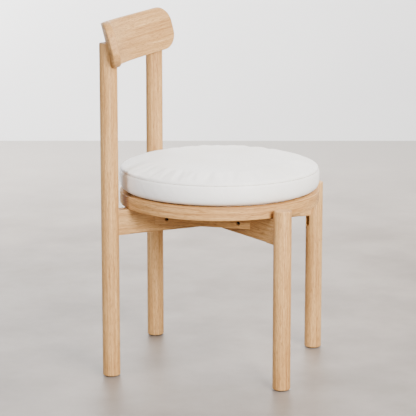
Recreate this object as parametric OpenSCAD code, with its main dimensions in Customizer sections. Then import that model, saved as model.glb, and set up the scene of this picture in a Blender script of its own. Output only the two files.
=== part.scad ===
// Dining chair: four round legs, crossed rails, a wooden hoop under a round pad and a curved backrest.
// Millimetres, +Z up. The origin is on the floor below the middle of the overall depth.
// The sitter faces -Y, so the sitter's left hand is on the +X side.

/* [Overall] */
// Top of the seat hoop above the floor
frame_top = 405; // [340:1:500]
// Top of the rear posts above the floor
post_top = 745; // [650:1:860]
// Distance between the left and right leg axes
leg_track = 334; // [270:1:420]
// Distance from the seat axis forward to the front leg axes
front_reach = 184; // [150:1:230]
// Distance from the seat axis back to the rear post axes
rear_reach = 204; // [160:1:250]

/* [Legs] */
// Diameter of every leg and post
leg_d = 39; // [30:0.5:48]
// Drop from the top of the hoop to the top of the front legs
leg_drop = 7; // [2:0.5:15]
// Radius on the top rim of each leg
rim_top = 2.5; // [1:0.5:5]
// Radius on the bottom rim of each leg
rim_foot = 2; // [1:0.5:5]

/* [Rails] */
// Height of the crossed rails
rail_h = 56; // [40:1:75]
// Thickness of the crossed rails and the side braces
rail_t = 25; // [18:0.5:32]
// Length of the tenon that enters a leg
tenon_l = 12; // [8:0.5:15]
// Width of the tenon and of the slot in the leg
slot_w = 16; // [8:0.5:20]
// Length of open slot left below the rail
slot_below = 28; // [12:1:45]
// Chamfer along the lower edges of the rails
rail_chamfer = 2.5; // [0.5:0.5:5]
// Plain length left at each end of that chamfer
chamfer_stop = 22; // [10:1:40]

/* [Braces] */
// Distance from the middle plane to the outer face of a brace
brace_set = 110; // [80:1:135]
// Height of the braces
brace_h = 38; // [28:1:50]
// Distance from a brace end to its screw
brace_screw_in = 27; // [20:1:40]
// Height of the brace screws above the brace's lower edge
brace_screw_up = 11.5; // [8:0.5:24]
// Diameter of the counterbored screw holes
counterbore_d = 9; // [8.5:0.5:12]
// Depth of the counterbores in the braces
counterbore_h = 10; // [6:0.5:15]

/* [Hoop] */
// Outside diameter of the hoop
hoop_d = 448; // [360:1:540]
// Radial width of the hoop
hoop_w = 24; // [16:0.5:32]
// Height of the hoop
hoop_h = 28; // [22:0.5:40]
// Radius on the edges of the hoop
hoop_edge = 2.5; // [1:0.5:5]

/* [Seat board] */
// Thickness of the plywood board inside the hoop
board_t = 12; // [8:0.5:18]
// Radial gap between the board and the hoop
board_gap = 1; // [0.5:0.25:3]
// Distance of the board screws from the crossing
board_screw_out = 55; // [40:1:75]
// Distance of the side pad screws from the middle plane
pad_screw_side = 62; // [50:1:75]
// Distance of the front and rear pad screws from the crossing
pad_screw_end = 130; // [100:1:150]

/* [Pad] */
// Outside diameter of the upholstered pad
pad_d = 452; // [380:1:540]
// Height of the side band of the pad
band_h = 49; // [35:1:70]
// Rise of the crowned top above the side band
crown_h = 18; // [6:1:30]
// Thickness of the leather cover
cover_t = 1.5; // [1:0.1:3]
// Gap between the folded cover and the hoop
fold_gap = 3; // [2:0.5:5]
// Width of the cover lip stapled under the pad board
lip_w = 24; // [18:1:35]
// Number of staples in the lip
staple_n = 20; // [12:1:32]
// Thickness of the dust cloth
cloth_t = 0.8; // [0.5:0.1:1.5]
// Gap between the dust cloth and the lip
cloth_gap = 1; // [0.5:0.25:3]

/* [Backrest] */
// Distance from the seat axis back to the middle of the backrest's front face
rest_set = 224; // [200:1:280]
// Height of the middle of the front face above the floor
rest_z = 734; // [640:0.5:840]
// Height of the backrest board
rest_h = 100.5; // [80:1:130]
// Thickness of the backrest board
rest_t = 17.5; // [12:0.5:24]
// Radius of the hollow front face
rest_r = 400; // [320:1:520]
// Length of the front face along its curve
rest_l = 433; // [400:1:480]
// Radius on the corners of the board
rest_corner = 40; // [10:1:48]
// Backward lean of the board in degrees
rest_tilt = 14.5; // [0:0.5:22]
// Diameter of the dowels that hold the board
dowel_d = 8; // [6:0.5:10]
// Depth of each dowel in the board
dowel_in = 11; // [7:0.5:14]
// Depth of each dowel in the post
dowel_out = 8; // [6:0.5:10]
// Distance of the upper dowels below the middle of the board
dowel_upper = 10; // [4:1:18]
// Distance of the lower dowels below the middle of the board
dowel_lower = 34; // [24:1:42]

/* [Fasteners] */
// Shank diameter of the wood screws
screw_d = 4; // [3:0.5:5]
// Length of the point of the wood screws
tip_l = 3; // [2:0.5:5]
// Head diameter of the wood screws
head_d = 8; // [6:0.5:8.5]
// Head height of the wood screws
head_h = 2.6; // [2:0.1:4]
// Depth of the lap and board screw heads below the surface
head_sunk = 1; // [0.5:0.25:2]
// Shank length of the brace screws
brace_screw_l = 40; // [30:1:48]
// Shank length of the hoop screws
hoop_screw_l = 42; // [36:1:50]
// Height of the hoop screw heads above the rail's lower edge
hoop_screw_up = 30; // [26:1:34]
// Shank length of the board screws
board_screw_l = 32; // [24:1:40]
// Shank length of the lap screw
lap_screw_l = 40; // [32:1:48]
// Diameter of the pad screws
pad_screw_d = 6; // [5:0.5:8]
// Head diameter of the pad screws
pad_head_d = 12; // [10:0.5:14]
// Head height of the pad screws
pad_head_h = 3.5; // [2.5:0.5:5]
// Washer diameter
washer_d = 18; // [15:0.5:22]
// Washer thickness
washer_t = 1.5; // [1:0.1:2]
// Flange diameter of the pronged nuts
flange_d = 19; // [16:0.5:24]
// Flange thickness of the pronged nuts
flange_t = 1.4; // [1:0.1:2]
// Barrel diameter of the pronged nuts
barrel_d = 8; // [7.5:0.1:10]
// Thickness of the pad board left below the barrels
barrel_floor = 3; // [2:0.5:5]
// Length of a staple's crown
staple_crown = 10; // [8:0.5:14]
// Length of a staple's legs
staple_leg = 8; // [6:0.5:10]
// Width of the staple wire
staple_wire = 1.2; // [0.8:0.1:1.6]
// Thickness of a staple's crown
staple_t = 0.7; // [0.5:0.1:1]

/* [Feet] */
// Diameter of the foot glides
glide_d = 28; // [20:1:34]
// Thickness of the foot glides
glide_t = 2.5; // [1.5:0.5:6]
// Shank diameter of the glide nails
nail_d = 2.5; // [2:0.5:4]
// Shank length of the glide nails
nail_l = 18; // [12:1:25]
// Head diameter of the glide nails
nail_head_d = 7; // [5:0.5:10]
// Head thickness of the glide nails
nail_head_t = 1; // [0.6:0.1:1.4]

/* [Clearances] */
// Gap between curved faces that meet
fit = 0.3; // [0.2:0.05:0.5]
// Gap at the blind end of a hole or slot
end_gap = 0.8; // [0.5:0.1:2]

/* [Hidden] */
$fn = 96;
// How far a cutter reaches past the face it cuts
cut = 2;
// How far joined shapes run into each other
root = 4;
// Depth of a screw's hexagon socket as a share of its head height
socket_depth = 0.6;
oak = [0.84, 0.71, 0.56];
ply = [0.80, 0.68, 0.50];
steel = [0.62, 0.63, 0.65];
white = [0.90, 0.89, 0.87];

leg_r = leg_d / 2;
hoop_r = hoop_d / 2;
hoop_in = hoop_r - hoop_w;
hoop_mid = hoop_r - hoop_w / 2;
pad_r = pad_d / 2;

// Overall depth: the pad is the foremost part and the top of the backrest the rearmost
rest_reach = rest_set + rest_t * cos(rest_tilt) + rest_h / 2 * sin(rest_tilt);
seat_y = (max(pad_r, hoop_r) - rest_reach) / 2;

// Heights of the seat frame
rail_top = frame_top - hoop_h;
rail_low = rail_top - rail_h;
rail_mid = rail_top - rail_h / 2;
leg_top = frame_top - leg_drop;
board_top = rail_top + board_t;

// The rails run from leg axis to leg axis and cross at the same point
span = front_reach + rear_reach;
rail_l = norm([leg_track, span]);
rail_a = atan2(span, leg_track);
cross_off = (rear_reach - front_reach) / 2;
cross_y = seat_y + cross_off;

// Turn of the rail frame that points to each leg
a_front_left = -rail_a;
a_front_right = 180 + rail_a;
a_rear_left = rail_a;
a_rear_right = 180 - rail_a;

brace_low = rail_top - brace_h;
brace_half = brace_set * tan(rail_a) - rail_t / 2 / cos(rail_a);
brace_screw_y = brace_half - brace_screw_in;
brace_screw_z = brace_low + brace_screw_up;

// Heights inside the pad
pad_low = frame_top + cover_t;
pad_board_low = board_top + cover_t;
pad_board_r = hoop_in - fold_gap - cover_t;
seam_z = frame_top + band_h;
dome_r = (pad_r * pad_r + crown_h * crown_h) / (2 * crown_h);
dome_z = seam_z + crown_h - dome_r;
barrel_h = pad_low - pad_board_low - flange_t - barrel_floor;
pad_screw_l = pad_low - flange_t - rail_top - end_gap;

// Backrest: the corner circles sit at this turn around the axis of the hollow face
rest_y = seat_y + rest_set;
corner_a = (rest_l / 2 - rest_corner) / rest_r * 180 / PI;
dowel_a = asin((leg_track / 2) / (rest_r + rest_t));

// ---- frames ----

// Rail frame: +X runs from the crossing to the leg at turn a
module rail_place(a) {
  translate([0, cross_y, 0])
    rotate([0, 0, a])
      children();
}

// On the leg axis at turn a
module leg_place(a) {
  rail_place(a)
    translate([rail_l / 2, 0, 0])
      children();
}

// All four leg axes
module each_leg() {
  for (a = [a_front_left, a_front_right, a_rear_left, a_rear_right])
    leg_place(a)
      children();
}

// Seat axis on the floor
module seat_place() {
  translate([0, seat_y, 0])
    children();
}

// Axis of the hollow face of the backrest, +Y towards the board
module rest_place() {
  translate([0, rest_y, rest_z])
    rotate([-rest_tilt, 0, 0])
      translate([0, -rest_r, 0])
        children();
}

// ---- shared shapes ----

// Cylinder along +Z
module rod(d, h) {
  cylinder(d = d, h = h);
}

// Rectangle with its right-hand corners rounded, for turning about Z
module rim_profile(x0, x1, z0, z1, r0, r1) {
  lap = 1;
  translate([x0, z0])
    square([x1 - max(r0, r1) - x0, z1 - z0]);
  translate([x0, z0 + r0])
    square([x1 - x0, z1 - z0 - r0 - r1]);
  translate([x0, z0])
    square([x1 - r0 - x0, r0 + lap]);
  translate([x0, z1 - r1 - lap])
    square([x1 - r1 - x0, r1 + lap]);
  translate([x1 - r0, z0 + r0])
    circle(r = r0);
  translate([x1 - r1, z1 - r1])
    circle(r = r1);
}

// Round leg standing on its glide
module round_leg(top) {
  rotate_extrude()
    rim_profile(0, leg_r, glide_t, top, rim_foot, rim_top);
}

// Slot in a leg for the tenon, with a round lower end
module leg_slot() {
  low = rail_low - slot_below + slot_w / 2;
  depth = tenon_l + end_gap;
  translate([rail_l / 2 - leg_r - cut, -slot_w / 2, low])
    cube([depth + cut, slot_w, rail_top - low]);
  translate([rail_l / 2 - leg_r - cut, 0, low])
    rotate([0, 90, 0])
      rod(slot_w, depth + cut);
}

// Leg with its slot and nail hole
module leg_at(a, top) {
  difference() {
    leg_place(a)
      round_leg(top);
    rail_place(a)
      leg_slot();
    leg_place(a)
      rod(nail_d + 2 * fit, nail_l + nail_head_t + end_gap);
  }
}

// Everything in front of the back face and above the lower edge of the backrest
module rest_housing() {
  rest_place()
    translate([0, 0, -rest_h / 2])
      cylinder(r = rest_r + rest_t + fit, h = 2 * rest_h);
}

// Rear post: a leg cut away for the backrest, with dowel holes
module post_at(a) {
  difference() {
    leg_at(a, post_top);
    rest_housing();
    dowel_holes();
  }
}

// Blank of one crossed rail with coped ends and tenons
module rail_blank(a) {
  difference() {
    rail_place(a)
      translate([-rail_l / 2, -rail_t / 2, rail_low])
        cube([rail_l, rail_t, rail_h]);
    each_leg()
      translate([0, 0, rail_low - cut])
        cylinder(r = leg_r + fit, h = rail_h + 2 * cut);
    rail_place(a)
      rail_chamfers();
  }
  for (s = [0, 180])
    rail_place(a + s)
      translate([rail_l / 2 - leg_r - root, -slot_w / 2, rail_low])
        cube([tenon_l + root, slot_w, rail_h]);
}

// Stopped chamfers along both lower edges of a rail
module rail_chamfers() {
  half = rail_l / 2 - leg_r - chamfer_stop;
  side = rail_chamfer * sqrt(2);
  for (s = [-1, 1])
    translate([0, s * rail_t / 2, rail_low])
      rotate([45, 0, 0])
        cube([2 * half, side, side], center = true);
}

// Solid band of a rail between two heights, used to cut the half lap
module lap_band(a, z0, z1) {
  rail_place(a)
    translate([-rail_t * 2, -rail_t / 2, z0])
      cube([rail_t * 4, rail_t, z1 - z0]);
}

// Wood screw: head seat at z = 0, shank along +Z, hexagon socket in the head
module wood_screw(l) {
  difference() {
    union() {
      translate([0, 0, -head_h])
        rod(head_d, head_h);
      rod(screw_d, l - tip_l);
      translate([0, 0, l - tip_l])
        cylinder(d1 = screw_d, d2 = 1, h = tip_l);
    }
    translate([0, 0, -head_h - cut])
      cylinder(d = head_d / 2, h = head_h * socket_depth + cut, $fn = 6);
  }
}

// Hole for a wood screw: shank bore and counterbore of depth c
module screw_hole(l, c) {
  rod(screw_d + 2 * fit, l + end_gap);
  translate([0, 0, -c])
    rod(counterbore_d, c);
}

// ---- screw positions ----

// Brace screws: four, driven from the outer face towards the middle
module at_brace_screws() {
  for (s = [-1, 1])
    for (t = [-1, 1])
      translate([s * (brace_set - counterbore_h), cross_y + t * brace_screw_y, brace_screw_z])
        rotate([0, -90 * s, 0])
          children();
}

// Distance along a rail, from the crossing, to the middle circle of the hoop
function hoop_x(a) = -cross_off * sin(a) + sqrt(pow(hoop_mid, 2) - pow(cross_off * cos(a), 2));

// Hoop screws: one near each leg, driven up through the rail
module at_hoop_screws() {
  for (a = [a_front_left, a_front_right, a_rear_left, a_rear_right])
    rail_place(a)
      translate([hoop_x(a), 0, rail_low + hoop_screw_up])
        children();
}

// Board screws: driven down through the seat board into the rails
module at_board_screws() {
  for (a = [a_front_left, a_front_right, a_rear_left, a_rear_right])
    rail_place(a)
      translate([board_screw_out, 0, board_top - head_h - head_sunk])
        rotate([180, 0, 0])
          children();
}

// Lap screw: driven up through the crossing
module at_lap_screw() {
  translate([0, cross_y, rail_low + head_h + head_sunk])
    children();
}

// Pad screws: driven up through the seat board into the pronged nuts
module at_pad_screws() {
  for (p = [[pad_screw_side, 0], [-pad_screw_side, 0], [0, pad_screw_end], [0, -pad_screw_end]])
    translate([p[0], cross_y + p[1], rail_top])
      children();
}

// Dowels between the posts and the backrest, along the radius of the board
module at_dowels() {
  rest_place()
    for (s = [-1, 1])
      rotate([0, 0, -s * dowel_a])
        for (u = [-dowel_upper, -dowel_lower])
          translate([0, rest_r + rest_t - dowel_in, u])
            rotate([-90, 0, 0])
              children();
}

// Blind holes for the dowels
module dowel_holes() {
  at_dowels()
    translate([0, 0, -end_gap])
      rod(dowel_d + 2 * fit, dowel_in + dowel_out + 2 * end_gap);
}

// ---- wooden frame ----

// Front leg on the sitter's left
module front_leg_left() {
  color(oak)
    leg_at(a_front_left, leg_top);
}

// Front leg on the sitter's right
module front_leg_right() {
  color(oak)
    leg_at(a_front_right, leg_top);
}

// Rear post on the sitter's left
module rear_post_left() {
  color(oak)
    post_at(a_rear_left);
}

// Rear post on the sitter's right
module rear_post_right() {
  color(oak)
    post_at(a_rear_right);
}

// Rail from the front left leg to the rear right post, notched from above
module cross_rail_a() {
  color(oak)
    difference() {
      rail_blank(a_front_left);
      lap_band(a_rear_left, rail_mid, rail_top + cut);
      rail_bores();
    }
}

// Rail from the rear left post to the front right leg, notched from below
module cross_rail_b() {
  color(oak)
    difference() {
      rail_blank(a_rear_left);
      lap_band(a_front_left, rail_low - cut, rail_mid);
      rail_bores();
    }
}

// Screw holes in the crossed rails
module rail_bores() {
  at_brace_screws()
    screw_hole(brace_screw_l, counterbore_h);
  at_hoop_screws()
    screw_hole(hoop_screw_l, hoop_screw_up + cut);
  at_board_screws()
    screw_hole(board_screw_l, head_h);
  at_lap_screw()
    screw_hole(lap_screw_l, head_h + head_sunk + cut);
}

// Brace on the +X side, cut to the faces of both rails
module brace_plain() {
  difference() {
    translate([brace_set - rail_t, cross_y - brace_half - cut, brace_low])
      cube([rail_t, 2 * brace_half + 2 * cut, brace_h]);
    rail_place(a_front_left)
      translate([-rail_l, rail_t / 2 - rail_l, brace_low - cut])
        cube([2 * rail_l, rail_l, brace_h + 2 * cut]);
    rail_place(a_rear_left)
      translate([-rail_l, -rail_t / 2, brace_low - cut])
        cube([2 * rail_l, rail_l, brace_h + 2 * cut]);
    at_brace_screws()
      screw_hole(brace_screw_l, counterbore_h + cut);
  }
}

// Side brace on the sitter's left
module side_brace_left() {
  color(oak)
    brace_plain();
}

// Side brace on the sitter's right
module side_brace_right() {
  color(oak)
    mirror([1, 0, 0])
      brace_plain();
}

// Hoop that rests on the rails
module seat_hoop() {
  color(oak)
    difference() {
      seat_place()
        rotate_extrude()
          hoop_profile();
      at_hoop_screws()
        screw_hole(hoop_screw_l, hoop_screw_up);
    }
}

// Section of the hoop with four rounded edges
module hoop_profile() {
  e = hoop_edge;
  translate([hoop_in + e, rail_top])
    square([hoop_w - 2 * e, hoop_h]);
  translate([hoop_in, rail_top + e])
    square([hoop_w, hoop_h - 2 * e]);
  for (x = [hoop_in + e, hoop_r - e])
    for (z = [rail_top + e, frame_top - e])
      translate([x, z])
        circle(r = e);
}

// Plywood board inside the hoop
module seat_board() {
  color(ply)
    difference() {
      seat_place()
        translate([0, 0, rail_top])
          cylinder(r = hoop_in - board_gap, h = board_t);
      at_board_screws()
        screw_hole(board_screw_l, head_h + head_sunk + cut);
      at_pad_screws()
        translate([0, 0, -cut])
          rod(pad_screw_d + 4 * fit, board_t + 2 * cut);
    }
}

// ---- backrest ----

// Curved board with radial ends and rounded corners
module backrest() {
  color(oak)
    difference() {
      rest_place()
        intersection() {
          rest_tube();
          rest_prism();
          mirror([1, 0, 0])
            rest_prism();
        }
      dowel_holes();
    }
}

// Full tube the backrest is cut from
module rest_tube() {
  difference() {
    translate([0, 0, -rest_h])
      cylinder(r = rest_r + rest_t, h = 2 * rest_h);
    translate([0, 0, -rest_h - cut])
      cylinder(r = rest_r, h = 2 * rest_h + 2 * cut);
  }
}

// Prism with the two rounded corners of the +X end, along the radius through their centres
module rest_prism() {
  start = rest_r / 5;
  rotate([0, 0, -corner_a])
    translate([0, start, 0])
      rotate([-90, 0, 0])
        linear_extrude(height = rest_r)
          rim_profile(-rest_l, rest_corner, -rest_h / 2, rest_h / 2, rest_corner, rest_corner);
}

// Four blind dowels
module backrest_dowels() {
  color(ply)
    at_dowels()
      rod(dowel_d, dowel_in + dowel_out);
}

// ---- screws ----

// Screw that locks the crossing
module lap_screw() {
  color(steel)
    at_lap_screw()
      wood_screw(lap_screw_l);
}

// Four screws through the braces
module brace_screws() {
  color(steel)
    at_brace_screws()
      wood_screw(brace_screw_l);
}

// Four screws up into the hoop
module hoop_screws() {
  color(steel)
    at_hoop_screws()
      wood_screw(hoop_screw_l);
}

// Four screws down through the seat board
module board_screws() {
  color(steel)
    at_board_screws()
      wood_screw(board_screw_l);
}

// Four machine screws that hold the pad
module pad_screws() {
  color(steel)
    at_pad_screws()
      difference() {
        union() {
          translate([0, 0, -washer_t - pad_head_h])
            rod(pad_head_d, pad_head_h);
          translate([0, 0, -washer_t])
            rod(pad_screw_d, pad_screw_l + washer_t);
        }
        translate([0, 0, -washer_t - pad_head_h - cut])
          cylinder(d = pad_head_d / 2, h = pad_head_h * socket_depth + cut, $fn = 6);
      }
}

// Washers under the heads of the pad screws
module pad_washers() {
  color(steel)
    at_pad_screws()
      translate([0, 0, -washer_t])
        difference() {
          rod(washer_d, washer_t);
          translate([0, 0, -cut])
            rod(pad_screw_d + 2 * fit, washer_t + 2 * cut);
        }
}

// Pronged nuts let into the pad board
module pad_nuts() {
  color(steel)
    at_pad_screws()
      difference() {
        nut_shape(0);
        translate([0, 0, -cut])
          rod(pad_screw_d + 2 * fit, pad_low - rail_top + 2 * cut);
      }
}

// Outline of one pronged nut, grown by g
module nut_shape(g) {
  top = pad_low - rail_top;
  translate([0, 0, top - flange_t])
    rod(flange_d + 2 * g, flange_t);
  translate([0, 0, top - flange_t - barrel_h])
    rod(barrel_d + 2 * g, barrel_h + flange_t / 2);
}

// ---- pad ----

// Plywood base of the pad, which drops into the hoop
module pad_board() {
  color(ply)
    difference() {
      seat_place()
        translate([0, 0, pad_board_low])
          cylinder(r = pad_board_r, h = pad_low - pad_board_low);
      at_pad_screws()
        nut_shape(fit);
      at_pad_screws()
        rod(pad_screw_d + 2 * fit, pad_low - rail_top - flange_t);
      at_staples()
        staple_shape(fit / 2);
    }
}

// Crowned disc of radius r whose top lies g below the outside of the pad
module crowned(r, low, g) {
  intersection() {
    translate([0, 0, low])
      cylinder(r = r, h = dome_r);
    translate([0, 0, dome_z])
      sphere(r = dome_r - g, $fn = 192);
  }
}

// Foam block
module pad_foam() {
  color([0.93, 0.91, 0.80])
    seat_place()
      crowned(pad_r - cover_t - fit, pad_low, cover_t + fit);
}

// Round top panel of the cover
module cover_top() {
  color(white)
    seat_place()
      difference() {
        crowned(pad_r, seam_z - cover_t, 0);
        translate([0, 0, dome_z])
          sphere(r = dome_r - cover_t, $fn = 192);
      }
}

// Side band of the cover
module cover_side() {
  color(white)
    seat_place()
      translate([0, 0, pad_low])
        difference() {
          cylinder(r = pad_r, h = seam_z - cover_t - pad_low);
          translate([0, 0, -cut])
            cylinder(r = pad_r - cover_t, h = band_h + 2 * cut);
        }
}

// Under panel of the cover, folded around the pad board and turned under it
module cover_under() {
  fold_r = pad_board_r + cover_t;
  color(white)
    difference() {
      seat_place() {
        ring(pad_board_r + fit, pad_r, frame_top, pad_low);
        ring(pad_board_r + fit, fold_r, board_top, pad_low - cover_t / 2);
        ring(fold_r - lip_w, pad_board_r + 2 * fit, board_top, pad_board_low);
      }
      at_staples()
        staple_shape(fit / 2);
    }
}

// Flat ring between two radii and two heights
module ring(r0, r1, z0, z1) {
  translate([0, 0, z0])
    difference() {
      cylinder(r = r1, h = z1 - z0);
      translate([0, 0, -cut])
        cylinder(r = r0, h = z1 - z0 + 2 * cut);
    }
}

// Staple positions around the lip
module at_staples() {
  seat_place()
    for (i = [0 : staple_n - 1])
      rotate([0, 0, 360 / staple_n * (i + 0.5)])
        translate([pad_board_r - lip_w / 2, 0, board_top + fit])
          children();
}

// One staple, grown by g: a crown and two legs
module staple_shape(g) {
  wire = staple_wire + 2 * g;
  crown = staple_crown + 2 * g;
  translate([-wire / 2, -crown / 2, 0])
    cube([wire, crown, staple_t]);
  for (s = [-1, 1])
    translate([-wire / 2, s * (staple_crown - staple_wire) / 2 - wire / 2, staple_t / 2])
      cube([wire, wire, staple_leg - staple_t / 2 + g]);
}

// Staples that hold the lip
module cover_staples() {
  color(steel)
    at_staples()
      staple_shape(0);
}

// Cloth disc inside the lip
module dust_cloth() {
  color([0.18, 0.18, 0.18])
    difference() {
      seat_place()
        translate([0, 0, pad_board_low - cloth_t])
          cylinder(r = pad_board_r + cover_t - lip_w - cloth_gap, h = cloth_t);
      at_pad_screws()
        rod(pad_screw_d + 4 * fit, pad_low - rail_top);
    }
}

// ---- feet ----

// Glides under the legs
module foot_glides() {
  color([0.25, 0.25, 0.25])
    each_leg()
      difference() {
        rod(glide_d, glide_t);
        translate([0, 0, -cut])
          rod(nail_d + 2 * fit, glide_t + 2 * cut);
        translate([0, 0, -cut])
          rod(nail_head_d + 2 * fit, nail_head_t + fit + cut);
      }
}

// Nails that hold the glides
module glide_nails() {
  color(steel)
    each_leg()
      translate([0, 0, fit]) {
        rod(nail_head_d, nail_head_t);
        rod(nail_d, nail_head_t + nail_l);
      }
}

front_leg_left();
front_leg_right();
rear_post_left();
rear_post_right();
cross_rail_a();
cross_rail_b();
side_brace_left();
side_brace_right();
seat_hoop();
seat_board();
backrest();
backrest_dowels();
lap_screw();
brace_screws();
hoop_screws();
board_screws();
pad_screws();
pad_washers();
pad_nuts();
pad_board();
pad_foam();
cover_top();
cover_side();
cover_under();
cover_staples();
dust_cloth();
foot_glides();
glide_nails();
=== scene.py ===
"""A dining chair: pale oak dowel legs, a wooden hoop under a round leather pad, and a curved backrest."""

import math

import bmesh
import bpy
import numpy as np
from mathutils import Matrix, Vector
from mathutils.bvhtree import BVHTree


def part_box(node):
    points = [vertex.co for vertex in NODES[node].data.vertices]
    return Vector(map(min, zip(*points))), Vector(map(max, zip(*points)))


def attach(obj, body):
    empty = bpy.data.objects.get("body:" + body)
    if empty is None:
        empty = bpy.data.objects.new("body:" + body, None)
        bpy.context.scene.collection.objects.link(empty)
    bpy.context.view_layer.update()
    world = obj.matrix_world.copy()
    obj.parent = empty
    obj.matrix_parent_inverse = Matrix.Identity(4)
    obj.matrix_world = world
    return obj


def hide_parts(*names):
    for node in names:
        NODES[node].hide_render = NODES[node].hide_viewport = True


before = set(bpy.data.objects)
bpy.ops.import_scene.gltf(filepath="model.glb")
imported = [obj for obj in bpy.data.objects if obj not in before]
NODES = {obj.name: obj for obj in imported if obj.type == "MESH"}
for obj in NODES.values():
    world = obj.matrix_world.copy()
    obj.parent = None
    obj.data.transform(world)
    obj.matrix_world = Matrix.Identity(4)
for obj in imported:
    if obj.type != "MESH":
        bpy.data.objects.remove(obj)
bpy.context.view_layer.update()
MM = 0.001

# ---------------------------------------------------------------- sizes read from the frame

hoop_low, hoop_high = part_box("seat_hoop")
SEAT = Vector(((hoop_low.x + hoop_high.x) / 2, (hoop_low.y + hoop_high.y) / 2, 0))
HOOP_TOP = hoop_high.z
HOOP_R = (hoop_high.x - hoop_low.x) / 2
PAD_R = (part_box("cover_side")[1].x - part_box("cover_side")[0].x) / 2
SEAM_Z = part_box("cover_side")[1].z
CROWN_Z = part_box("cover_top")[1].z
LEG_NODES = ("front_leg_left", "front_leg_right", "rear_post_left", "rear_post_right")
RAIL_NODES = ("cross_rail_a", "cross_rail_b")
BRACE_NODES = ("side_brace_left", "side_brace_right")


def middle(node):
    """Middle of a CAD node's box."""
    low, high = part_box(node)
    return (low + high) / 2


# ---------------------------------------------------------------- material tools


def linear(hex_colour):
    """sRGB hex such as '#d8b48c' to linear RGBA."""
    channels = [int(hex_colour[i:i + 2], 16) / 255 for i in (1, 3, 5)]
    return [c / 12.92 if c <= 0.04045 else ((c + 0.055) / 1.055) ** 2.4 for c in channels] + [1.0]


def add(mat, kind, inputs=None, ramp=None, **settings):
    """Adds a node to a material or a node group.

    inputs maps a socket to a value or to another node's output; ramp is (place, colour) stops.
    """
    tree = getattr(mat, "node_tree", mat)
    node = tree.nodes.new(kind)
    for name, value in settings.items():
        setattr(node, name, value)
    if ramp:
        stops = node.color_ramp.elements
        while len(stops) < len(ramp):
            stops.new(0.5)
        for stop, (place, colour) in zip(stops, ramp):
            stop.position = place
            stop.color = colour
    for socket, value in (inputs or {}).items():
        if isinstance(value, bpy.types.NodeSocket):
            tree.links.new(value, node.inputs[socket])
        else:
            node.inputs[socket].default_value = value
    return node


def new_material(name):
    """An empty node material."""
    mat = bpy.data.materials.new(name)
    mat.use_nodes = True
    mat.node_tree.nodes.clear()
    return mat


def close(mat, colour, roughness, normal=None, **constants):
    """Ends a material in a Principled shader. constants are set on its own sockets."""
    shader = add(mat, "ShaderNodeBsdfPrincipled")
    for socket, value in (("Base Color", colour), ("Roughness", roughness), ("Normal", normal)):
        if isinstance(value, bpy.types.NodeSocket):
            mat.node_tree.links.new(value, shader.inputs[socket])
        elif value is not None:
            shader.inputs[socket].default_value = value
    for name, value in constants.items():
        shader.inputs[name.replace("_", " ")].default_value = value
    add(mat, "ShaderNodeOutputMaterial", {"Surface": shader.outputs[0]})
    return mat


# ---------------------------------------------------------------- materials


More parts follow.
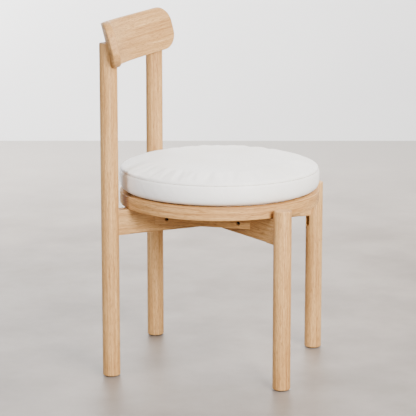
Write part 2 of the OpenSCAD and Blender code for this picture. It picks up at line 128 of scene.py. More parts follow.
def oiled_oak():
    """White oak under a thin matt oil: pale honey, straight grain, thin darker pore lines, soft sheen."""
    mat = new_material("oiled_oak")
    grain = add(mat, "ShaderNodeAttribute", attribute_name="grain").outputs["Vector"]
    # the grain attribute is metres: x along the fibres, y and z across them
    sway = add(mat, "ShaderNodeTexNoise", {"Vector": add(
        mat, "ShaderNodeMapping", {"Vector": grain, "Scale": (3.0, 14.0, 14.0)}).outputs[0],
        "Scale": 1.0, "Detail": 2.0})
    bend = add(mat, "ShaderNodeVectorMath", {0: sway.outputs["Color"], 1: (0.5, 0.5, 0.5)},
               operation="SUBTRACT")
    bend = add(mat, "ShaderNodeVectorMath", {0: bend.outputs[0], 1: (0.0, 0.012, 0.012)},
               operation="MULTIPLY")
    swayed = add(mat, "ShaderNodeVectorMath", {0: grain, 1: bend.outputs[0]}).outputs[0]
    # early and late wood: bands about 6 mm apart, drawn out along the fibres
    bands = add(mat, "ShaderNodeTexNoise", {"Vector": add(
        mat, "ShaderNodeMapping", {"Vector": swayed, "Scale": (2.2, 170.0, 170.0)}).outputs[0],
        "Scale": 1.0, "Detail": 3.0, "Roughness": 0.55})
    # fibre streaks about 1.3 mm wide
    fibres = add(mat, "ShaderNodeTexNoise", {"Vector": add(
        mat, "ShaderNodeMapping", {"Vector": swayed, "Scale": (14.0, 780.0, 780.0)}).outputs[0],
        "Scale": 1.0, "Detail": 3.0, "Roughness": 0.6})
    # open pores: dashes 0.5 mm wide and about 12 mm long
    pores = add(mat, "ShaderNodeTexNoise", {"Vector": add(
        mat, "ShaderNodeMapping", {"Vector": swayed, "Scale": (75.0, 1900.0, 1900.0)}).outputs[0],
        "Scale": 1.0, "Detail": 1.0})
    # slow change of tone along a board
    tone = add(mat, "ShaderNodeTexNoise", {"Vector": add(
        mat, "ShaderNodeMapping", {"Vector": grain, "Scale": (3.5, 20.0, 20.0)}).outputs[0],
        "Scale": 1.0, "Detail": 1.0})
    mixed = add(mat, "ShaderNodeMix", {"Factor": 0.58, 2: bands.outputs[0], 3: fibres.outputs[0]},
                data_type="FLOAT")
    mixed = add(mat, "ShaderNodeMix", {"Factor": 0.22, 2: mixed.outputs[0], 3: tone.outputs[0]},
                data_type="FLOAT")
    wood = add(mat, "ShaderNodeValToRGB", {"Fac": mixed.outputs[0]}, ramp=[
        (0.36, linear("#926437")), (0.45, linear("#b5864f")), (0.54, linear("#c89a61")),
        (0.64, linear("#d8ae74"))])
    dash = add(mat, "ShaderNodeMapRange", {
        "Value": pores.outputs[0], "From Min": 0.54, "From Max": 0.68, "To Min": 0.0, "To Max": 0.72})
    colour = add(mat, "ShaderNodeMix", {"Factor": dash.outputs[0], 6: wood.outputs[0],
                                        7: linear("#74491f")}, data_type="RGBA")
    height = add(mat, "ShaderNodeMix", {"Factor": 0.5, 2: fibres.outputs[0], 3: pores.outputs[0]},
                 data_type="FLOAT")
    bump = add(mat, "ShaderNodeBump", {"Strength": 0.22, "Distance": 0.0004,
                                       "Height": height.outputs[0]})
    gloss = add(mat, "ShaderNodeMapRange", {
        "Value": fibres.outputs[0], "From Min": 0.3, "From Max": 0.7, "To Min": 0.50, "To Max": 0.62})
    return close(mat, colour.outputs[2], gloss.outputs[0], bump.outputs[0], IOR=1.48,
                 Specular_IOR_Level=0.35)


def white_leather():
    """Coated off-white leather: satin, with a fine pebbled grain and faint warm clouding."""
    mat = new_material("white_leather")
    place = add(mat, "ShaderNodeTexCoord").outputs["Object"]
    # pebbles of the grain, about 1.4 mm across
    pebbles = add(mat, "ShaderNodeTexVoronoi", {"Vector": place, "Scale": 700.0, "Randomness": 0.9},
                  feature="SMOOTH_F1")
    # creases between groups of pebbles, about 5 mm apart
    creases = add(mat, "ShaderNodeTexNoise", {"Vector": place, "Scale": 190.0, "Detail": 4.0,
                                              "Roughness": 0.6})
    clouds = add(mat, "ShaderNodeTexNoise", {"Vector": place, "Scale": 9.0, "Detail": 3.0})
    colour = add(mat, "ShaderNodeValToRGB", {"Fac": clouds.outputs[0]}, ramp=[
        (0.32, linear("#ece8e2")), (0.68, linear("#f5f2ee"))])
    height = add(mat, "ShaderNodeMix", {"Factor": 0.5, 2: pebbles.outputs[0], 3: creases.outputs[0]},
                 data_type="FLOAT")
    bump = add(mat, "ShaderNodeBump", {"Strength": 0.35, "Distance": 0.0006,
                                       "Height": height.outputs[0]})
    gloss = add(mat, "ShaderNodeMapRange", {
        "Value": creases.outputs[0], "From Min": 0.3, "From Max": 0.7, "To Min": 0.44, "To Max": 0.58})
    return close(mat, colour.outputs[0], gloss.outputs[0], bump.outputs[0], IOR=1.46,
                 Specular_IOR_Level=0.4, Sheen_Weight=0.06)


def shaded_seam_leather():
    """The turned seam: the pad's leather darkened with painted shade for the shadow in the sewn crease,
    and slightly uneven where it is sewn.
    """
    mat = new_material("shaded_seam_leather")
    place = add(mat, "ShaderNodeTexCoord").outputs["Object"]
    thread = add(mat, "ShaderNodeTexNoise", {"Vector": place, "Scale": 330.0, "Detail": 2.0})
    # painted shade: both stops sit well below the pad's leather tone, so the seam reads as the shadow
    # along the crease
    colour = add(mat, "ShaderNodeValToRGB", {"Fac": thread.outputs[0]}, ramp=[
        (0.4, linear("#b5aca0")), (0.6, linear("#d5cfc6"))])
    bump = add(mat, "ShaderNodeBump", {"Strength": 0.4, "Distance": 0.0005,
                                       "Height": thread.outputs[0]})
    return close(mat, colour.outputs[0], 0.6, bump.outputs[0], IOR=1.46)


def birch_plywood():
    """Birch plywood: pale faces, and edges striped by 1.4 mm veneers laid crosswise."""
    mat = new_material("birch_plywood")
    place = add(mat, "ShaderNodeTexCoord").outputs["Object"]
    height = add(mat, "ShaderNodeSeparateXYZ", {0: place}).outputs["Z"]
    layer = add(mat, "ShaderNodeMath", {0: height, 1: 1 / (2.8 * MM)}, operation="MULTIPLY")
    layer = add(mat, "ShaderNodeMath", {0: layer.outputs[0]}, operation="FRACT")
    layer = add(mat, "ShaderNodeMath", {0: layer.outputs[0], 1: 0.5}, operation="GREATER_THAN")
    streaks = add(mat, "ShaderNodeTexNoise", {"Vector": add(
        mat, "ShaderNodeMapping", {"Vector": place, "Scale": (14.0, 260.0, 40.0)}).outputs[0],
        "Scale": 1.0, "Detail": 4.0})
    pale = add(mat, "ShaderNodeValToRGB", {"Fac": streaks.outputs[0]}, ramp=[
        (0.3, linear("#cda877")), (0.7, linear("#e2c496"))])
    dark = add(mat, "ShaderNodeValToRGB", {"Fac": streaks.outputs[0]}, ramp=[
        (0.3, linear("#a37c50")), (0.7, linear("#be9768"))])
    facing = add(mat, "ShaderNodeSeparateXYZ", {0: add(
        mat, "ShaderNodeNewGeometry").outputs["Normal"]}).outputs["Z"]
    side = add(mat, "ShaderNodeMath", {0: facing}, operation="ABSOLUTE")
    side = add(mat, "ShaderNodeMath", {0: side.outputs[0], 1: 0.5}, operation="LESS_THAN")
    striped = add(mat, "ShaderNodeMath", {0: layer.outputs[0], 1: side.outputs[0]},
                  operation="MULTIPLY")
    colour = add(mat, "ShaderNodeMix", {"Factor": striped.outputs[0], 6: pale.outputs[0],
                                        7: dark.outputs[0]}, data_type="RGBA")
    bump = add(mat, "ShaderNodeBump", {"Strength": 0.2, "Distance": 0.0003,
                                       "Height": streaks.outputs[0]})
    return close(mat, colour.outputs[2], 0.7, bump.outputs[0], IOR=1.5)


def turned_beech():
    """Turned beech dowel: pinkish tan with short dark flecks."""
    mat = new_material("turned_beech")
    place = add(mat, "ShaderNodeTexCoord").outputs["Object"]
    flecks = add(mat, "ShaderNodeTexNoise", {"Vector": add(
        mat, "ShaderNodeMapping", {"Vector": place, "Scale": (900.0, 160.0, 900.0)}).outputs[0],
        "Scale": 1.0, "Detail": 3.0})
    colour = add(mat, "ShaderNodeValToRGB", {"Fac": flecks.outputs[0]}, ramp=[
        (0.35, linear("#b98a64")), (0.6, linear("#d3a982"))])
    return close(mat, colour.outputs[0], 0.62, IOR=1.5)


def plated_steel(name, low, high, roughness):
    """Plated steel: the plate's tone clouds slightly and the surface carries fine drawing marks."""
    mat = new_material(name)
    place = add(mat, "ShaderNodeTexCoord").outputs["Object"]
    clouds = add(mat, "ShaderNodeTexNoise", {"Vector": place, "Scale": 420.0, "Detail": 3.0})
    colour = add(mat, "ShaderNodeValToRGB", {"Fac": clouds.outputs[0]}, ramp=[
        (0.35, linear(low)), (0.65, linear(high))])
    marks = add(mat, "ShaderNodeTexNoise", {"Vector": place, "Scale": 2600.0, "Detail": 2.0})
    bump = add(mat, "ShaderNodeBump", {"Strength": 0.15, "Distance": 0.0001,
                                       "Height": marks.outputs[0]})
    rough = add(mat, "ShaderNodeMapRange", {"Value": clouds.outputs[0], "To Min": roughness - 0.08,
                                            "To Max": roughness + 0.08})
    return close(mat, colour.outputs[0], rough.outputs[0], bump.outputs[0], Metallic=1.0)


def pressed_felt():
    """Pressed wool felt: grey-brown, matt, with a lay of fine tangled fibres."""
    mat = new_material("pressed_felt")
    place = add(mat, "ShaderNodeTexCoord").outputs["Object"]
    fluff = add(mat, "ShaderNodeTexNoise", {"Vector": place, "Scale": 1300.0, "Detail": 6.0,
                                            "Roughness": 0.7})
    colour = add(mat, "ShaderNodeValToRGB", {"Fac": fluff.outputs[0]}, ramp=[
        (0.3, linear("#3e3933")), (0.7, linear("#6d655b"))])
    bump = add(mat, "ShaderNodeBump", {"Strength": 0.8, "Distance": 0.0005,
                                       "Height": fluff.outputs[0]})
    return close(mat, colour.outputs[0], 0.95, bump.outputs[0], Sheen_Weight=0.3)


def spun_cloth():
    """Black spunbonded dust cloth: flat black with pressed dimples 1.5 mm apart."""
    mat = new_material("spun_cloth")
    place = add(mat, "ShaderNodeTexCoord").outputs["Object"]
    dimples = add(mat, "ShaderNodeTexVoronoi", {"Vector": place, "Scale": 660.0, "Randomness": 0.1})
    colour = add(mat, "ShaderNodeValToRGB", {"Fac": dimples.outputs[0]}, ramp=[
        (0.1, linear("#141414")), (0.5, linear("#2a2a2a"))])
    bump = add(mat, "ShaderNodeBump", {"Strength": 0.5, "Distance": 0.0003,
                                       "Height": dimples.outputs[0]})
    return close(mat, colour.outputs[0], 0.9, bump.outputs[0])


# ---------------------------------------------------------------- mesh tools


def new_piece(name, mesh, material, slot, *replaced):
    """Links a finished mesh as a piece of the chair that stands for the CAD nodes named."""
    obj = bpy.data.objects.new(name, mesh)
    bpy.context.scene.collection.objects.link(obj)
    mesh.materials.clear()
    mesh.materials.append(material)
    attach(obj, "root")
    if replaced:
        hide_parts(*replaced)
    return obj


def smooth(mesh, degrees):
    """Shades smooth, apart from edges sharper than the angle."""
    limit = math.radians(degrees)
    bm = bmesh.new()
    bm.from_mesh(mesh)
    for face in bm.faces:
        face.smooth = True
    for edge in bm.edges:
        edge.smooth = len(edge.link_faces) == 2 and edge.calc_face_angle(0) < limit
    bm.to_mesh(mesh)
    bm.free()


def merged_copy(node, name):
    """A welded copy of a CAD node's mesh."""
    mesh = NODES[node].data.copy()
    mesh.name = name
    bm = bmesh.new()
    bm.from_mesh(mesh)
    bmesh.ops.remove_doubles(bm, verts=bm.verts, dist=0.002 * MM)
    bmesh.ops.dissolve_degenerate(bm, edges=bm.edges, dist=0.001 * MM)
    bm.to_mesh(mesh)
    bm.free()
    return mesh


def stamp_grain(mesh, rule):
    """Stores the grain attribute: rule(point, face centre) gives metres along and across fibres."""
    layer = mesh.attributes.new("grain", "FLOAT_VECTOR", "CORNER")
    values = np.zeros((len(mesh.loops), 3), np.float32)
    for face in mesh.polygons:
        for loop in face.loop_indices:
            values[loop] = rule(mesh.vertices[mesh.loops[loop].vertex_index].co, face.center)
    layer.data.foreach_set("vector", values.ravel())


def straight_grain(origin, direction, roll, start):
    """Grain rule for straight stock: fibres along direction, turned by roll, cut from start on the log."""
    along = Vector(direction).normalized()
    across = along.orthogonal().normalized()
    across = Matrix.Rotation(roll, 3, along) @ across
    third = along.cross(across)

    def rule(point, _centre):
        local = point - origin
        return (local.dot(along) + start, local.dot(across) + start * 0.37, local.dot(third))

    return rule


def hoop_grain(point, centre):
    """Grain rule for the bent hoop: fibres run round it, laminations are radial."""
    def turn(p):
        return math.atan2(p.x - SEAT.x, -(p.y - SEAT.y))
    base = turn(centre)
    delta = (turn(point) - base + math.pi) % (2 * math.pi) - math.pi
    radius = math.hypot(point.x - SEAT.x, point.y - SEAT.y)
    return ((base + delta) * HOOP_R + HOOP_CUT, radius, point.z)


# ---------------------------------------------------------------- wooden frame


# degrees above which an edge stays sharp
SOFT_TURNED = 32
SOFT_SAWN = 30
# metres along the log at which the first piece of each kind is cut, and the step to the next
LEG_CUT, LEG_CUT_STEP = 0.9, 1.7
RAIL_CUT, RAIL_CUT_STEP = 14.0, 2.3
BRACE_CUT, BRACE_CUT_STEP = 21.0, 1.9
REST_CUT = 30.0
HOOP_CUT = 5.0


def make_leg(node, material, index):
    """A turned leg or post: the CAD shape with smooth sides and grain along its length."""
    mesh = merged_copy(node, node)
    base = middle(node)
    rule = straight_grain(Vector((base.x, base.y, 0)), (0, 0, 1),
                          LEG_CUT + LEG_CUT_STEP * index, 3.0 * index)
    smooth(mesh, SOFT_TURNED)
    stamp_grain(mesh, rule)
    return new_piece(node + "_wood", mesh, material, "oak", node)


def make_rail(node, material, index):
    """A crossed rail, grain along its length."""
    mesh = merged_copy(node, node)
    low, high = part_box(node)
    side = -1 if index == 0 else 1
    direction = (high.x - low.x, side * (high.y - low.y), 0)
    smooth(mesh, SOFT_SAWN)
    stamp_grain(mesh, straight_grain(middle(node), direction, 0.2,
                                     RAIL_CUT + RAIL_CUT_STEP * index))
    return new_piece(node + "_wood", mesh, material, "oak", node)


def make_brace(node, material, index):
    """A side brace, grain along its length."""
    mesh = merged_copy(node, node)
    smooth(mesh, SOFT_SAWN)
    stamp_grain(mesh, straight_grain(middle(node), (0, 1, 0), 0.4,
                                     BRACE_CUT + BRACE_CUT_STEP * index))
    return new_piece(node + "_wood", mesh, material, "oak", node)


def make_hoop(material):
    """The bent hoop with its four rounded edges."""
    mesh = merged_copy("seat_hoop", "seat_hoop")
    smooth(mesh, SOFT_TURNED)
    stamp_grain(mesh, hoop_grain)
    return new_piece("seat_hoop_wood", mesh, material, "oak", "seat_hoop")


# the backrest board, laid out flat before it is bent
REST_R = 400 * MM
REST_T = 17.5 * MM
REST_H = 100.5 * MM
REST_L = 433 * MM
REST_CORNER = 40 * MM
REST_EDGE = 3.4 * MM
REST_SLICES = 72
REST_TILT = math.radians(14.5)
rest_low, rest_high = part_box("backrest")
# middle of the hollow face, from the rearmost and the lowest edge of the CAD board
REST_FACE = Vector((
    (rest_low.x + rest_high.x) / 2,
    rest_high.y - REST_T * math.cos(REST_TILT) - REST_H / 2 * math.sin(REST_TILT),
    rest_low.z + REST_T * math.sin(REST_TILT) + REST_H / 2 * math.cos(REST_TILT)))


def rounded_outline(half_l, half_h, radius, steps=14):
    """Points round a rectangle with round corners, counter-clockwise."""
    points = []
    for corner, (sx, sy) in enumerate(((1, 1), (-1, 1), (-1, -1), (1, -1))):
        for step in range(steps + 1):
            turn = math.radians(90 * (corner + step / steps))
            points.append((sx * (half_l - radius) + radius * math.cos(turn),
                           sy * (half_h - radius) + radius * math.sin(turn)))
    return points


def bend_point(along, up, deep):
    """Flat board to bent board: along the curve, up the board, deep into it from the hollow face."""
    turn = along / REST_R
    radius = REST_R + deep
    local = Vector((radius * math.sin(turn), radius * math.cos(turn) - REST_R, up))
    return REST_FACE + Matrix.Rotation(-REST_TILT, 3, "X") @ local


def make_backrest(material):
    """The curved board: a flat blank with rounded corners and edges, then bent and leant back."""
    bm = bmesh.new()
    outline = rounded_outline(REST_L / 2, REST_H / 2, REST_CORNER)
    front = bm.faces.new([bm.verts.new((a, u, 0)) for a, u in outline])
    grown = bmesh.ops.extrude_face_region(bm, geom=[front])
    top = [v for v in grown["geom"] if isinstance(v, bmesh.types.BMVert)]
    bmesh.ops.translate(bm, verts=top, vec=(0, 0, REST_T))
    bmesh.ops.recalc_face_normals(bm, faces=bm.faces)
    rims = [e for e in bm.edges if abs(e.verts[0].co.z - e.verts[1].co.z) < 1e-6]
    bmesh.ops.bevel(bm, geom=rims, offset=REST_EDGE, segments=5, profile=0.5, affect="EDGES")
    for i in range(1, REST_SLICES):
        place = -REST_L / 2 + REST_L * i / REST_SLICES
        bmesh.ops.bisect_plane(bm, geom=bm.verts[:] + bm.edges[:] + bm.faces[:],
                               plane_co=(place, 0, 0), plane_no=(1, 0, 0))
    bmesh.ops.remove_doubles(bm, verts=bm.verts, dist=0.01 * MM)
    mesh = bpy.data.meshes.new("backrest_board")
    bm.to_mesh(mesh)
    bm.free()
    flat = [v.co.copy() for v in mesh.vertices]
    layer = mesh.attributes.new("grain", "FLOAT_VECTOR", "CORNER")
    values = np.array([(flat[l.vertex_index].x + REST_CUT, flat[l.vertex_index].y,
                        flat[l.vertex_index].z) for l in mesh.loops], np.float32)
    layer.data.foreach_set("vector", values.ravel())
    for vertex, point in zip(mesh.vertices, flat):
        vertex.co = bend_point(point.x, point.y, point.z)
    bm = bmesh.new()
    bm.from_mesh(mesh)
    bmesh.ops.recalc_face_normals(bm, faces=bm.faces)
    bm.to_mesh(mesh)
    bm.free()
    smooth(mesh, 40)
    return new_piece("backrest_board", mesh, material, "oak", "backrest")


# ---------------------------------------------------------------- upholstery

PAD_VOXEL = 5 * MM
PAD_PRESSURE = 4.0
PAD_SWELL = 5 * MM
SEAM_DEPTH = 1.9 * MM
SEAM_REACH = 4.2 * MM
SEAM_WELT = 0.8 * MM

def lathe(name, profile, turns=160):
    """A form of revolution about the seat axis from (radius, height) points, closed on the axis."""
    bm = bmesh.new()
    rings = []
    for radius, height in profile:
        if radius < 1e-6:
            rings.append([bm.verts.new((SEAT.x, SEAT.y, height))])
            continue
        rings.append([bm.verts.new((SEAT.x + radius * math.cos(2 * math.pi * i / turns),
                                    SEAT.y + radius * math.sin(2 * math.pi * i / turns), height))
                      for i in range(turns)])
    for lower, upper in zip(rings, rings[1:]):
        for i in range(turns):
            j = (i + 1) % turns
            if len(lower) == 1:
                bm.faces.new((lower[0], upper[i], upper[j]))
            elif len(upper) == 1:
                bm.faces.new((lower[i], upper[0], lower[j]))
            else:
                bm.faces.new((lower[i], upper[i], upper[j], lower[j]))
    bmesh.ops.recalc_face_normals(bm, faces=bm.faces)
    mesh = bpy.data.meshes.new(name)
    bm.to_mesh(mesh)
    bm.free()
    return mesh


def pad_profile():
    """Half section of the unfilled pad: flat underside, tucked lower edge, side band, crowned top."""
    low = HOOP_TOP + 0.5 * MM
    r = PAD_R - 1.8 * MM
    crown = CROWN_Z - 2 * MM
    return [(0, low), (0.5 * r, low), (r - 34 * MM, low), (r - 24 * MM, low + 1.0 * MM),
            (r - 14 * MM, low + 2.6 * MM), (r - 8 * MM, low + 4.6 * MM), (r - 4.2 * MM, low + 7.6 * MM),
            (r - 1.6 * MM, low + 12 * MM), (r - 0.3 * MM, low + 18 * MM), (r, low + 26 * MM),
            (r - 0.2 * MM, SEAM_Z - 8 * MM), (r - 0.6 * MM, SEAM_Z - 1 * MM),
            (r - 2.6 * MM, SEAM_Z + 6 * MM), (r - 8 * MM, SEAM_Z + 11.6 * MM),
            (r - 18 * MM, SEAM_Z + 14.6 * MM), (r - 38 * MM, SEAM_Z + 15.6 * MM),
            (0.66 * r, crown - 0.2 * MM), (0.35 * r, crown), (0, crown)]


def remeshed(obj, voxel):
    """Applies a voxel remesh to an object's mesh."""
    change = obj.modifiers.new("voxels", "REMESH")
    change.mode = "VOXEL"
    change.voxel_size = voxel
    change.use_smooth_shade = True
    bake_down(obj)


def bake_down(obj):
    """Turns an object's modifiers into plain mesh."""
    graph = bpy.context.evaluated_depsgraph_get()
    mesh = bpy.data.meshes.new_from_object(obj.evaluated_get(graph))
    old = obj.data
    obj.modifiers.clear()
    obj.data = mesh
    bpy.data.meshes.remove(old)


def fill_pad(obj, pressure, cap, held):
    """Fills the closed cover by cloth simulation. held(point) is how firmly a point stays in place."""
    group = obj.vertex_groups.new(name="held")
    for vertex in obj.data.vertices:
        group.add([vertex.index], held(vertex.co), "REPLACE")
    cloth = obj.modifiers.new("cloth", "CLOTH")
    settings = cloth.settings
    settings.quality = 6
    settings.mass = 0.25
    settings.tension_stiffness = 12
    settings.compression_stiffness = 12
    settings.shear_stiffness = 6
    settings.bending_stiffness = 0.4
    settings.use_pressure = True
    settings.uniform_pressure_force = pressure
    settings.vertex_group_mass = "held"
    settings.pin_stiffness = 1.0
    settings.shrink_min = -0.005
    settings.effector_weights.gravity = 0
    cloth.collision_settings.use_self_collision = False
    cut_shape = np.array([v.co for v in obj.data.vertices], float)
    scene = bpy.context.scene
    for step in range(1, 21):
        scene.frame_set(step)
    graph = bpy.context.evaluated_depsgraph_get()
    filled = obj.evaluated_get(graph).to_mesh()
    moved = np.array([v.co for v in filled.vertices], float) - cut_shape
    obj.evaluated_get(graph).to_mesh_clear()
    length = np.linalg.norm(moved, axis=1, keepdims=True)
    moved *= np.minimum(1, cap / np.maximum(length, 1e-9))
    obj.modifiers.remove(cloth)
    obj.vertex_groups.clear()
    obj.data.vertices.foreach_set("co", (cut_shape + moved).ravel())
    obj.data.update()
    scene.frame_set(1)


def make_pad(material):
    """The upholstered pad: a closed leather form filled by simulation, flat where it rests on the hoop."""
    mesh = lathe("pad_cover", pad_profile())
    obj = bpy.data.objects.new("pad_cover", mesh)
    bpy.context.scene.collection.objects.link(obj)
    remeshed(obj, PAD_VOXEL)
    floor = HOOP_TOP + 0.6 * MM

    def held(point):
        out = math.hypot(point.x - SEAT.x, point.y - SEAT.y)
        under = min(1.0, max(0.0, (floor + 16 * MM - point.z) / (9 * MM)))
        off_seam = (out - PAD_R + 4 * MM) ** 2 + (point.z - SEAM_Z) ** 2
        return max(under, 0.8 * math.exp(-off_seam / (5 * MM) ** 2))

    fill_pad(obj, PAD_PRESSURE, PAD_SWELL, held)
    subdivide = obj.modifiers.new("finer", "SUBSURF")
    subdivide.levels = subdivide.render_levels = 1
    bake_down(obj)
    flatten_under(obj.data)
    crease_seam(obj.data, SEAM_DEPTH, SEAM_REACH)
    mesh = obj.data
    bpy.data.objects.remove(obj)
    smooth(mesh, 180)
    pad = new_piece("pad_cover", mesh, material, "white_leather",
                    "cover_top", "cover_side", "pad_foam")
    return pad


def ring_tube(name, points, radius, sides=8):
    """A closed tube through a loop of points."""
    bm = bmesh.new()
    rings = []
    count = len(points)
    for i, point in enumerate(points):
        ahead = (points[(i + 1) % count] - points[i - 1]).normalized()
        side = ahead.cross(Vector((0, 0, 1))).normalized()
        up = side.cross(ahead)
        rings.append([bm.verts.new(point + radius * (math.cos(t) * side + math.sin(t) * up))
                      for t in (2 * math.pi * k / sides for k in range(sides))])
    for i in range(count):
        one, two = rings[i], rings[(i + 1) % count]
        for k in range(sides):
            bm.faces.new((one[k], one[(k + 1) % sides], two[(k + 1) % sides], two[k]))
    bmesh.ops.recalc_face_normals(bm, faces=bm.faces)
    mesh = bpy.data.meshes.new(name)
    bm.to_mesh(mesh)
    bm.free()
    return mesh


def make_seam(pad, material):
    """The turned seam between side band and top panel: a fine welt laid on the filled surface."""
    bm = bmesh.new()
    bm.from_mesh(pad.data)
    surface = BVHTree.FromBMesh(bm)
    bm.free()
    points = []
    turns = 360
    for i in range(turns):
        turn = 2 * math.pi * i / turns
        outward = Vector((math.cos(turn), math.sin(turn), 0))
        start = SEAT + outward * (PAD_R + 40 * MM) + Vector((0, 0, SEAM_Z))
        hit = surface.ray_cast(start, -outward)[0]
        points.append(hit - outward * 0.2 * MM)
    mesh = ring_tube("pad_seam", points, SEAM_WELT)
    smooth(mesh, 180)
    return new_piece("pad_seam", mesh, material, "white_leather")


def make_fold(material):
    """The cover turned down inside the hoop and under the pad board, gathered in small pleats."""
    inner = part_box("pad_board")[1].x
    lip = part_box("dust_cloth")[1].x + 1.0 * MM
    top = HOOP_TOP + 0.45 * MM
    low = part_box("pad_board")[0].z
    section = [(PAD_R - 24 * MM, top), (inner + 1.5 * MM, top), (inner + 1.5 * MM, low - 1.2 * MM),
               (inner, low - 1.45 * MM), (lip, low - 1.4 * MM), (lip, low - 0.2 * MM),
               (inner, low - 0.1 * MM), (inner + 0.3 * MM, top + 0.7 * MM),
               (PAD_R - 24 * MM, top + 0.7 * MM), (PAD_R - 24 * MM, top)]
    mesh = lathe("cover_fold", section, turns=288)
    for vertex in mesh.vertices:
        offset = Vector((vertex.co.x - SEAT.x, vertex.co.y - SEAT.y, 0))
        below = vertex.co.z < HOOP_TOP - 2 * MM
        if below and offset.length < inner - 2 * MM:
            vertex.co.z += 0.1 * MM * math.sin(72 * math.atan2(offset.y, offset.x))
        elif below and offset.length > inner + 1 * MM:
            vertex.co += offset.normalized() * 0.5 * MM * math.sin(72 * math.atan2(offset.y, offset.x))
    bm = bmesh.new()
    bm.from_mesh(mesh)
    bmesh.ops.remove_doubles(bm, verts=bm.verts, dist=0.005 * MM)
    bmesh.ops.recalc_face_normals(bm, faces=bm.faces)
    bm.to_mesh(mesh)
    bm.free()
    smooth(mesh, 50)
    return new_piece("cover_fold", mesh, material, "white_leather", "cover_under")


def crease_seam(mesh, depth, reach):
    """Draws the leather in along the seam, where the two panels are sewn together."""
    for vertex in mesh.vertices:
        offset = Vector((vertex.co.x - SEAT.x, vertex.co.y - SEAT.y, 0))
        away = abs(vertex.co.z - SEAM_Z) / reach
        if away < 1 and offset.length > 0.9 * PAD_R:
            vertex.co -= offset.normalized() * depth * (1 - away) ** 2


def flatten_under(mesh):
    """Keeps the filled pad on top of the hoop."""
    floor = HOOP_TOP + 0.4 * MM
    for vertex in mesh.vertices:
        vertex.co.z = max(vertex.co.z, floor)


# ---------------------------------------------------------------- staples

STAPLES = 20
STAPLE_CROWN = 10 * MM
STAPLE_WIRE = 1.2 * MM


def staple_ring():
    """Node group: wire staples spaced evenly round a circle, crowns along it and legs up."""
    group = bpy.data.node_groups.new("staple_ring", "GeometryNodeTree")
    for name, kind in (("Count", "Int"), ("Radius", "Float"), ("Crown", "Float"), ("Leg", "Float"),
                       ("Wire", "Float"), ("Finish", "Material")):
        group.interface.new_socket(name, in_out="INPUT", socket_type="NodeSocket" + kind)
    group.interface.new_socket("Geometry", in_out="OUTPUT", socket_type="NodeSocketGeometry")
    sizes = add(group, "NodeGroupInput").outputs

    def maths(operation, first, second=0.0):
        return add(group, "ShaderNodeMath", {0: first, 1: second}, operation=operation).outputs[0]

    # four points: leg tip, two corners of the crown, leg tip
    step = maths("SUBTRACT", add(group, "GeometryNodeInputIndex").outputs[0], 1.5)
    along = maths("MULTIPLY", maths("SIGN", step), maths("MULTIPLY", sizes["Crown"], 0.5))
    rise = maths("MULTIPLY", maths("GREATER_THAN", maths("ABSOLUTE", step), 1.0), sizes["Leg"])
    points = add(group, "GeometryNodeMeshLine", {"Count": 4})
    bent = add(group, "GeometryNodeSetPosition", {
        "Geometry": points.outputs[0],
        "Position": add(group, "ShaderNodeCombineXYZ", {"Y": along, "Z": rise}).outputs[0]})
    path = add(group, "GeometryNodeMeshToCurve", {"Mesh": bent.outputs[0]})
    path = add(group, "GeometryNodeFilletCurve", {"Curve": path.outputs[0], "Radius": sizes["Wire"],
                                                  "Count": 4}, mode="POLY")
    section = add(group, "GeometryNodeCurvePrimitiveCircle", {
        "Resolution": 10, "Radius": maths("MULTIPLY", sizes["Wire"], 0.5)})
    wire = add(group, "GeometryNodeCurveToMesh", {
        "Curve": path.outputs[0], "Profile Curve": section.outputs[0], "Fill Caps": True})
    # the circle starts half a space on, so no staple stands on the front line
    circle = add(group, "GeometryNodeMeshCircle", {"Vertices": sizes["Count"], "Radius": sizes["Radius"]})
    half_space = maths("DIVIDE", math.pi, sizes["Count"])
    circle = add(group, "GeometryNodeTransform", {
        "Geometry": circle.outputs[0],
        "Rotation": add(group, "ShaderNodeCombineXYZ", {"Z": half_space}).outputs[0]})
    facing = add(group, "FunctionNodeAlignRotationToVector", {
        "Vector": add(group, "GeometryNodeInputPosition").outputs[0]}, axis="X")
    staples = add(group, "GeometryNodeInstanceOnPoints", {
        "Points": circle.outputs[0], "Instance": wire.outputs[0], "Rotation": facing.outputs[0]})
    solid = add(group, "GeometryNodeRealizeInstances", {"Geometry": staples.outputs[0]})
    done = add(group, "GeometryNodeSetMaterial", {"Geometry": solid.outputs[0],
                                                  "Material": sizes["Finish"]})
    add(group, "NodeGroupOutput", {"Geometry": done.outputs[0]})
    return group


def make_staples(material):
    """Wire staples that hold the turned-in cover to the pad board."""
    low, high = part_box("cover_staples")
    half_space = math.pi / STAPLES
    radius = ((high.x - low.x) / 2 - STAPLE_CROWN / 2 * math.sin(half_space)
              - STAPLE_WIRE / 2 * math.cos(half_space)) / math.cos(half_space)
    obj = bpy.data.objects.new("staple_cutting", bpy.data.meshes.new("staple_cutting"))
    bpy.context.scene.collection.objects.link(obj)
    change = obj.modifiers.new("ring", "NODES")
    change.node_group = staple_ring()
    values = {"Count": STAPLES, "Radius": radius, "Crown": STAPLE_CROWN - STAPLE_WIRE,
              "Leg": high.z - low.z - STAPLE_WIRE / 2, "Wire": STAPLE_WIRE, "Finish": material}
    for socket in change.node_group.interface.items_tree:
        if socket.in_out == "INPUT":
            change[socket.identifier] = values[socket.name]
    bake_down(obj)
    mesh = obj.data
    bpy.data.objects.remove(obj)
    mesh.transform(Matrix.Translation((SEAT.x, SEAT.y, low.z + STAPLE_WIRE / 2)))
    smooth(mesh, 50)
    return new_piece("cover_staple_wire", mesh, material, "zinc_steel", "cover_staples")


# ---------------------------------------------------------------- build

oak = oiled_oak()
leather = white_leather()
shaded_seam_edge = shaded_seam_leather()
ply = birch_plywood()
beech = turned_beech()
dark_steel = plated_steel("black_zinc_steel", "#2b2926", "#46423d", 0.42)
bright_steel = plated_steel("bright_zinc_steel", "#9fa2a6", "#c4c6c9", 0.34)
felt = pressed_felt()
dust = spun_cloth()

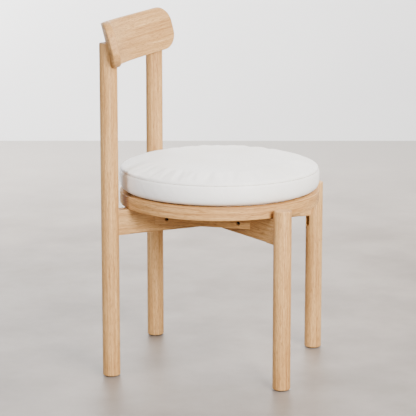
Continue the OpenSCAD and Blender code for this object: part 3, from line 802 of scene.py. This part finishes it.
for index, node in enumerate(LEG_NODES):
    make_leg(node, oak, index)
for index, node in enumerate(RAIL_NODES):
    make_rail(node, oak, index)
for index, node in enumerate(BRACE_NODES):
    make_brace(node, oak, index)
make_hoop(oak)
make_backrest(oak)
make_seam(make_pad(leather), shaded_seam_edge)
make_fold(leather)
make_staples(bright_steel)

KEPT = {
    "seat_board": ply, "pad_board": ply, "backrest_dowels": beech,
    "lap_screw": dark_steel, "brace_screws": dark_steel, "hoop_screws": dark_steel,
    "board_screws": dark_steel, "pad_screws": bright_steel, "pad_washers": bright_steel,
    "pad_nuts": bright_steel, "glide_nails": bright_steel,
    "dust_cloth": dust, "foot_glides": felt,
}
for node, finish in KEPT.items():
    NODES[node].data.materials.clear()
    NODES[node].data.materials.append(finish)

# ---------------------------------------------------------------- floor, light and camera

VIEW_TURN = math.radians(15.31)
VIEW_DIP = math.radians(10.59)
CAMERA_SIDE = 3.524
CAMERA_FRONT = 0.938
CAMERA_HEIGHT = 1.136
LENS_MM = 142.8
SENSOR_MM = 36
LENS_RISE = -0.1
WALL_DISTANCE = 3.0
ROOM_REACH = 12.0
WALL_HEIGHT = 6.0


def make_camera():
    """Camera on the sitter's right, a little to the front, looking slightly down."""
    data = bpy.data.cameras.new("camera")
    data.sensor_width = SENSOR_MM
    data.lens = LENS_MM
    data.shift_y = LENS_RISE
    data.clip_end = 60
    obj = bpy.data.objects.new("camera", data)
    bpy.context.scene.collection.objects.link(obj)
    obj.location = (SEAT.x - CAMERA_SIDE, SEAT.y - CAMERA_FRONT, CAMERA_HEIGHT)
    look = Vector((math.cos(VIEW_TURN) * math.cos(VIEW_DIP), math.sin(VIEW_TURN) * math.cos(VIEW_DIP),
                   -math.sin(VIEW_DIP)))
    obj.rotation_euler = look.to_track_quat("-Z", "Y").to_euler()
    bpy.context.scene.camera = obj


FORWARD = Vector((math.cos(VIEW_TURN), math.sin(VIEW_TURN), 0))
RIGHT = Vector((math.sin(VIEW_TURN), -math.cos(VIEW_TURN), 0))


def make_room():
    """A pale concrete floor with painted light growing towards a light wall three metres behind the chair.
    """
    concrete = new_material("pale_concrete")
    place = add(concrete, "ShaderNodeTexCoord").outputs["Object"]
    clouds = add(concrete, "ShaderNodeTexNoise", {"Vector": place, "Scale": 3.5, "Detail": 6.0,
                                                  "Roughness": 0.6})
    tint = add(concrete, "ShaderNodeValToRGB", {"Fac": clouds.outputs[0]}, ramp=[
        (0.36, linear("#6f655c")), (0.64, linear("#877d74"))])
    # painted light: from 1.2 m to 3 m out the floor blends towards a lighter tone, standing for the light
    # the pale wall throws back onto it
    reach = add(concrete, "ShaderNodeVectorMath", {0: place, 1: FORWARD}, operation="DOT_PRODUCT")
    wall_light_fade = add(concrete, "ShaderNodeMapRange", {
        "Value": reach.outputs["Value"], "From Min": 1.2, "From Max": 3.0, "To Min": 0.0, "To Max": 1.0})
    wall_lit_floor_tone = add(concrete, "ShaderNodeMix", {"Factor": wall_light_fade.outputs[0], 6: tint.outputs[0],
                                            7: linear("#96908a")}, data_type="RGBA")
    close(concrete, wall_lit_floor_tone.outputs[2], 0.45)
    paint = new_material("matt_wall_paint")
    place = add(paint, "ShaderNodeTexCoord").outputs["Object"]
    clouds = add(paint, "ShaderNodeTexNoise", {"Vector": place, "Scale": 2.0})
    tint = add(paint, "ShaderNodeValToRGB", {"Fac": clouds.outputs[0]}, ramp=[
        (0.3, linear("#dededf")), (0.7, linear("#e2e2e2"))])
    close(paint, tint.outputs[0], 0.9)
    floor_mesh = bpy.data.meshes.new("floor")
    floor_mesh.from_pydata([(x * ROOM_REACH, y * ROOM_REACH, 0)
                            for x, y in ((-1, -1), (1, -1), (1, 1), (-1, 1))], [], [(0, 1, 2, 3)])
    floor_mesh.materials.append(concrete)
    floor = bpy.data.objects.new("floor", floor_mesh)
    back = SEAT + FORWARD * WALL_DISTANCE
    left, right = back - RIGHT * ROOM_REACH, back + RIGHT * ROOM_REACH
    rise = Vector((0, 0, WALL_HEIGHT))
    wall_mesh = bpy.data.meshes.new("wall")
    wall_mesh.from_pydata([left, right, right + rise, left + rise], [], [(0, 1, 2, 3)])
    wall_mesh.materials.append(paint)
    wall = bpy.data.objects.new("wall", wall_mesh)
    for obj in (floor, wall):
        bpy.context.scene.collection.objects.link(obj)


def make_light(name, place, target, size, power, colour):
    """A square soft light aimed at a point."""
    data = bpy.data.lights.new(name, "AREA")
    data.shape = "SQUARE"
    data.size = size
    data.energy = power
    data.color = linear(colour)[:3]
    obj = bpy.data.objects.new(name, data)
    bpy.context.scene.collection.objects.link(obj)
    obj.location = place
    obj.rotation_euler = (target - place).to_track_quat("-Z", "Y").to_euler()


def make_sky(strength):
    """Even pale light from all round."""
    world = bpy.data.worlds.new("soft_sky")
    world.use_nodes = True
    world.node_tree.nodes["Background"].inputs["Color"].default_value = linear("#f4f5f7")
    world.node_tree.nodes["Background"].inputs["Strength"].default_value = strength
    bpy.context.scene.world = world


UP = Vector((0, 0, 1))
SEAT_HEIGHT = SEAT + UP * 0.4
# name, then metres to the right, forward and up from the chair, size, power, colour
CHAIR_LIGHTS = (
    ("key", 2.0, -1.6, 3.0, 1.3, 114, "#fffbf6"),
    ("rim", 2.0, 1.6, 2.6, 1.2, 92, "#fffdfa"),
    ("front", 1.35, -2.8, 1.65, 1.1, 248, "#fffdfa"),
    ("fill", -2.4, -2.0, 2.0, 1.4, 104, "#f1f5ff"),
)

make_camera()
make_room()
for name, right, forward, up, size, power, colour in CHAIR_LIGHTS:
    place = SEAT + RIGHT * right + FORWARD * forward + UP * up
    make_light(name, place, SEAT_HEIGHT, size, power, colour)
make_light("wall_wash", SEAT + FORWARD * 1.9 - RIGHT * 0.2 + UP * 2.2,
           SEAT + FORWARD * 2.9 + UP * 0.1, 1.4, 125, "#ffffff")
make_light("wall_left", SEAT + FORWARD * 2.2 - RIGHT * 1.7 + UP * 1.3,
           SEAT + FORWARD * 3.0 - RIGHT * 1.0 + UP * 0.3, 0.8, 80, "#ffffff")
make_sky(0.08)
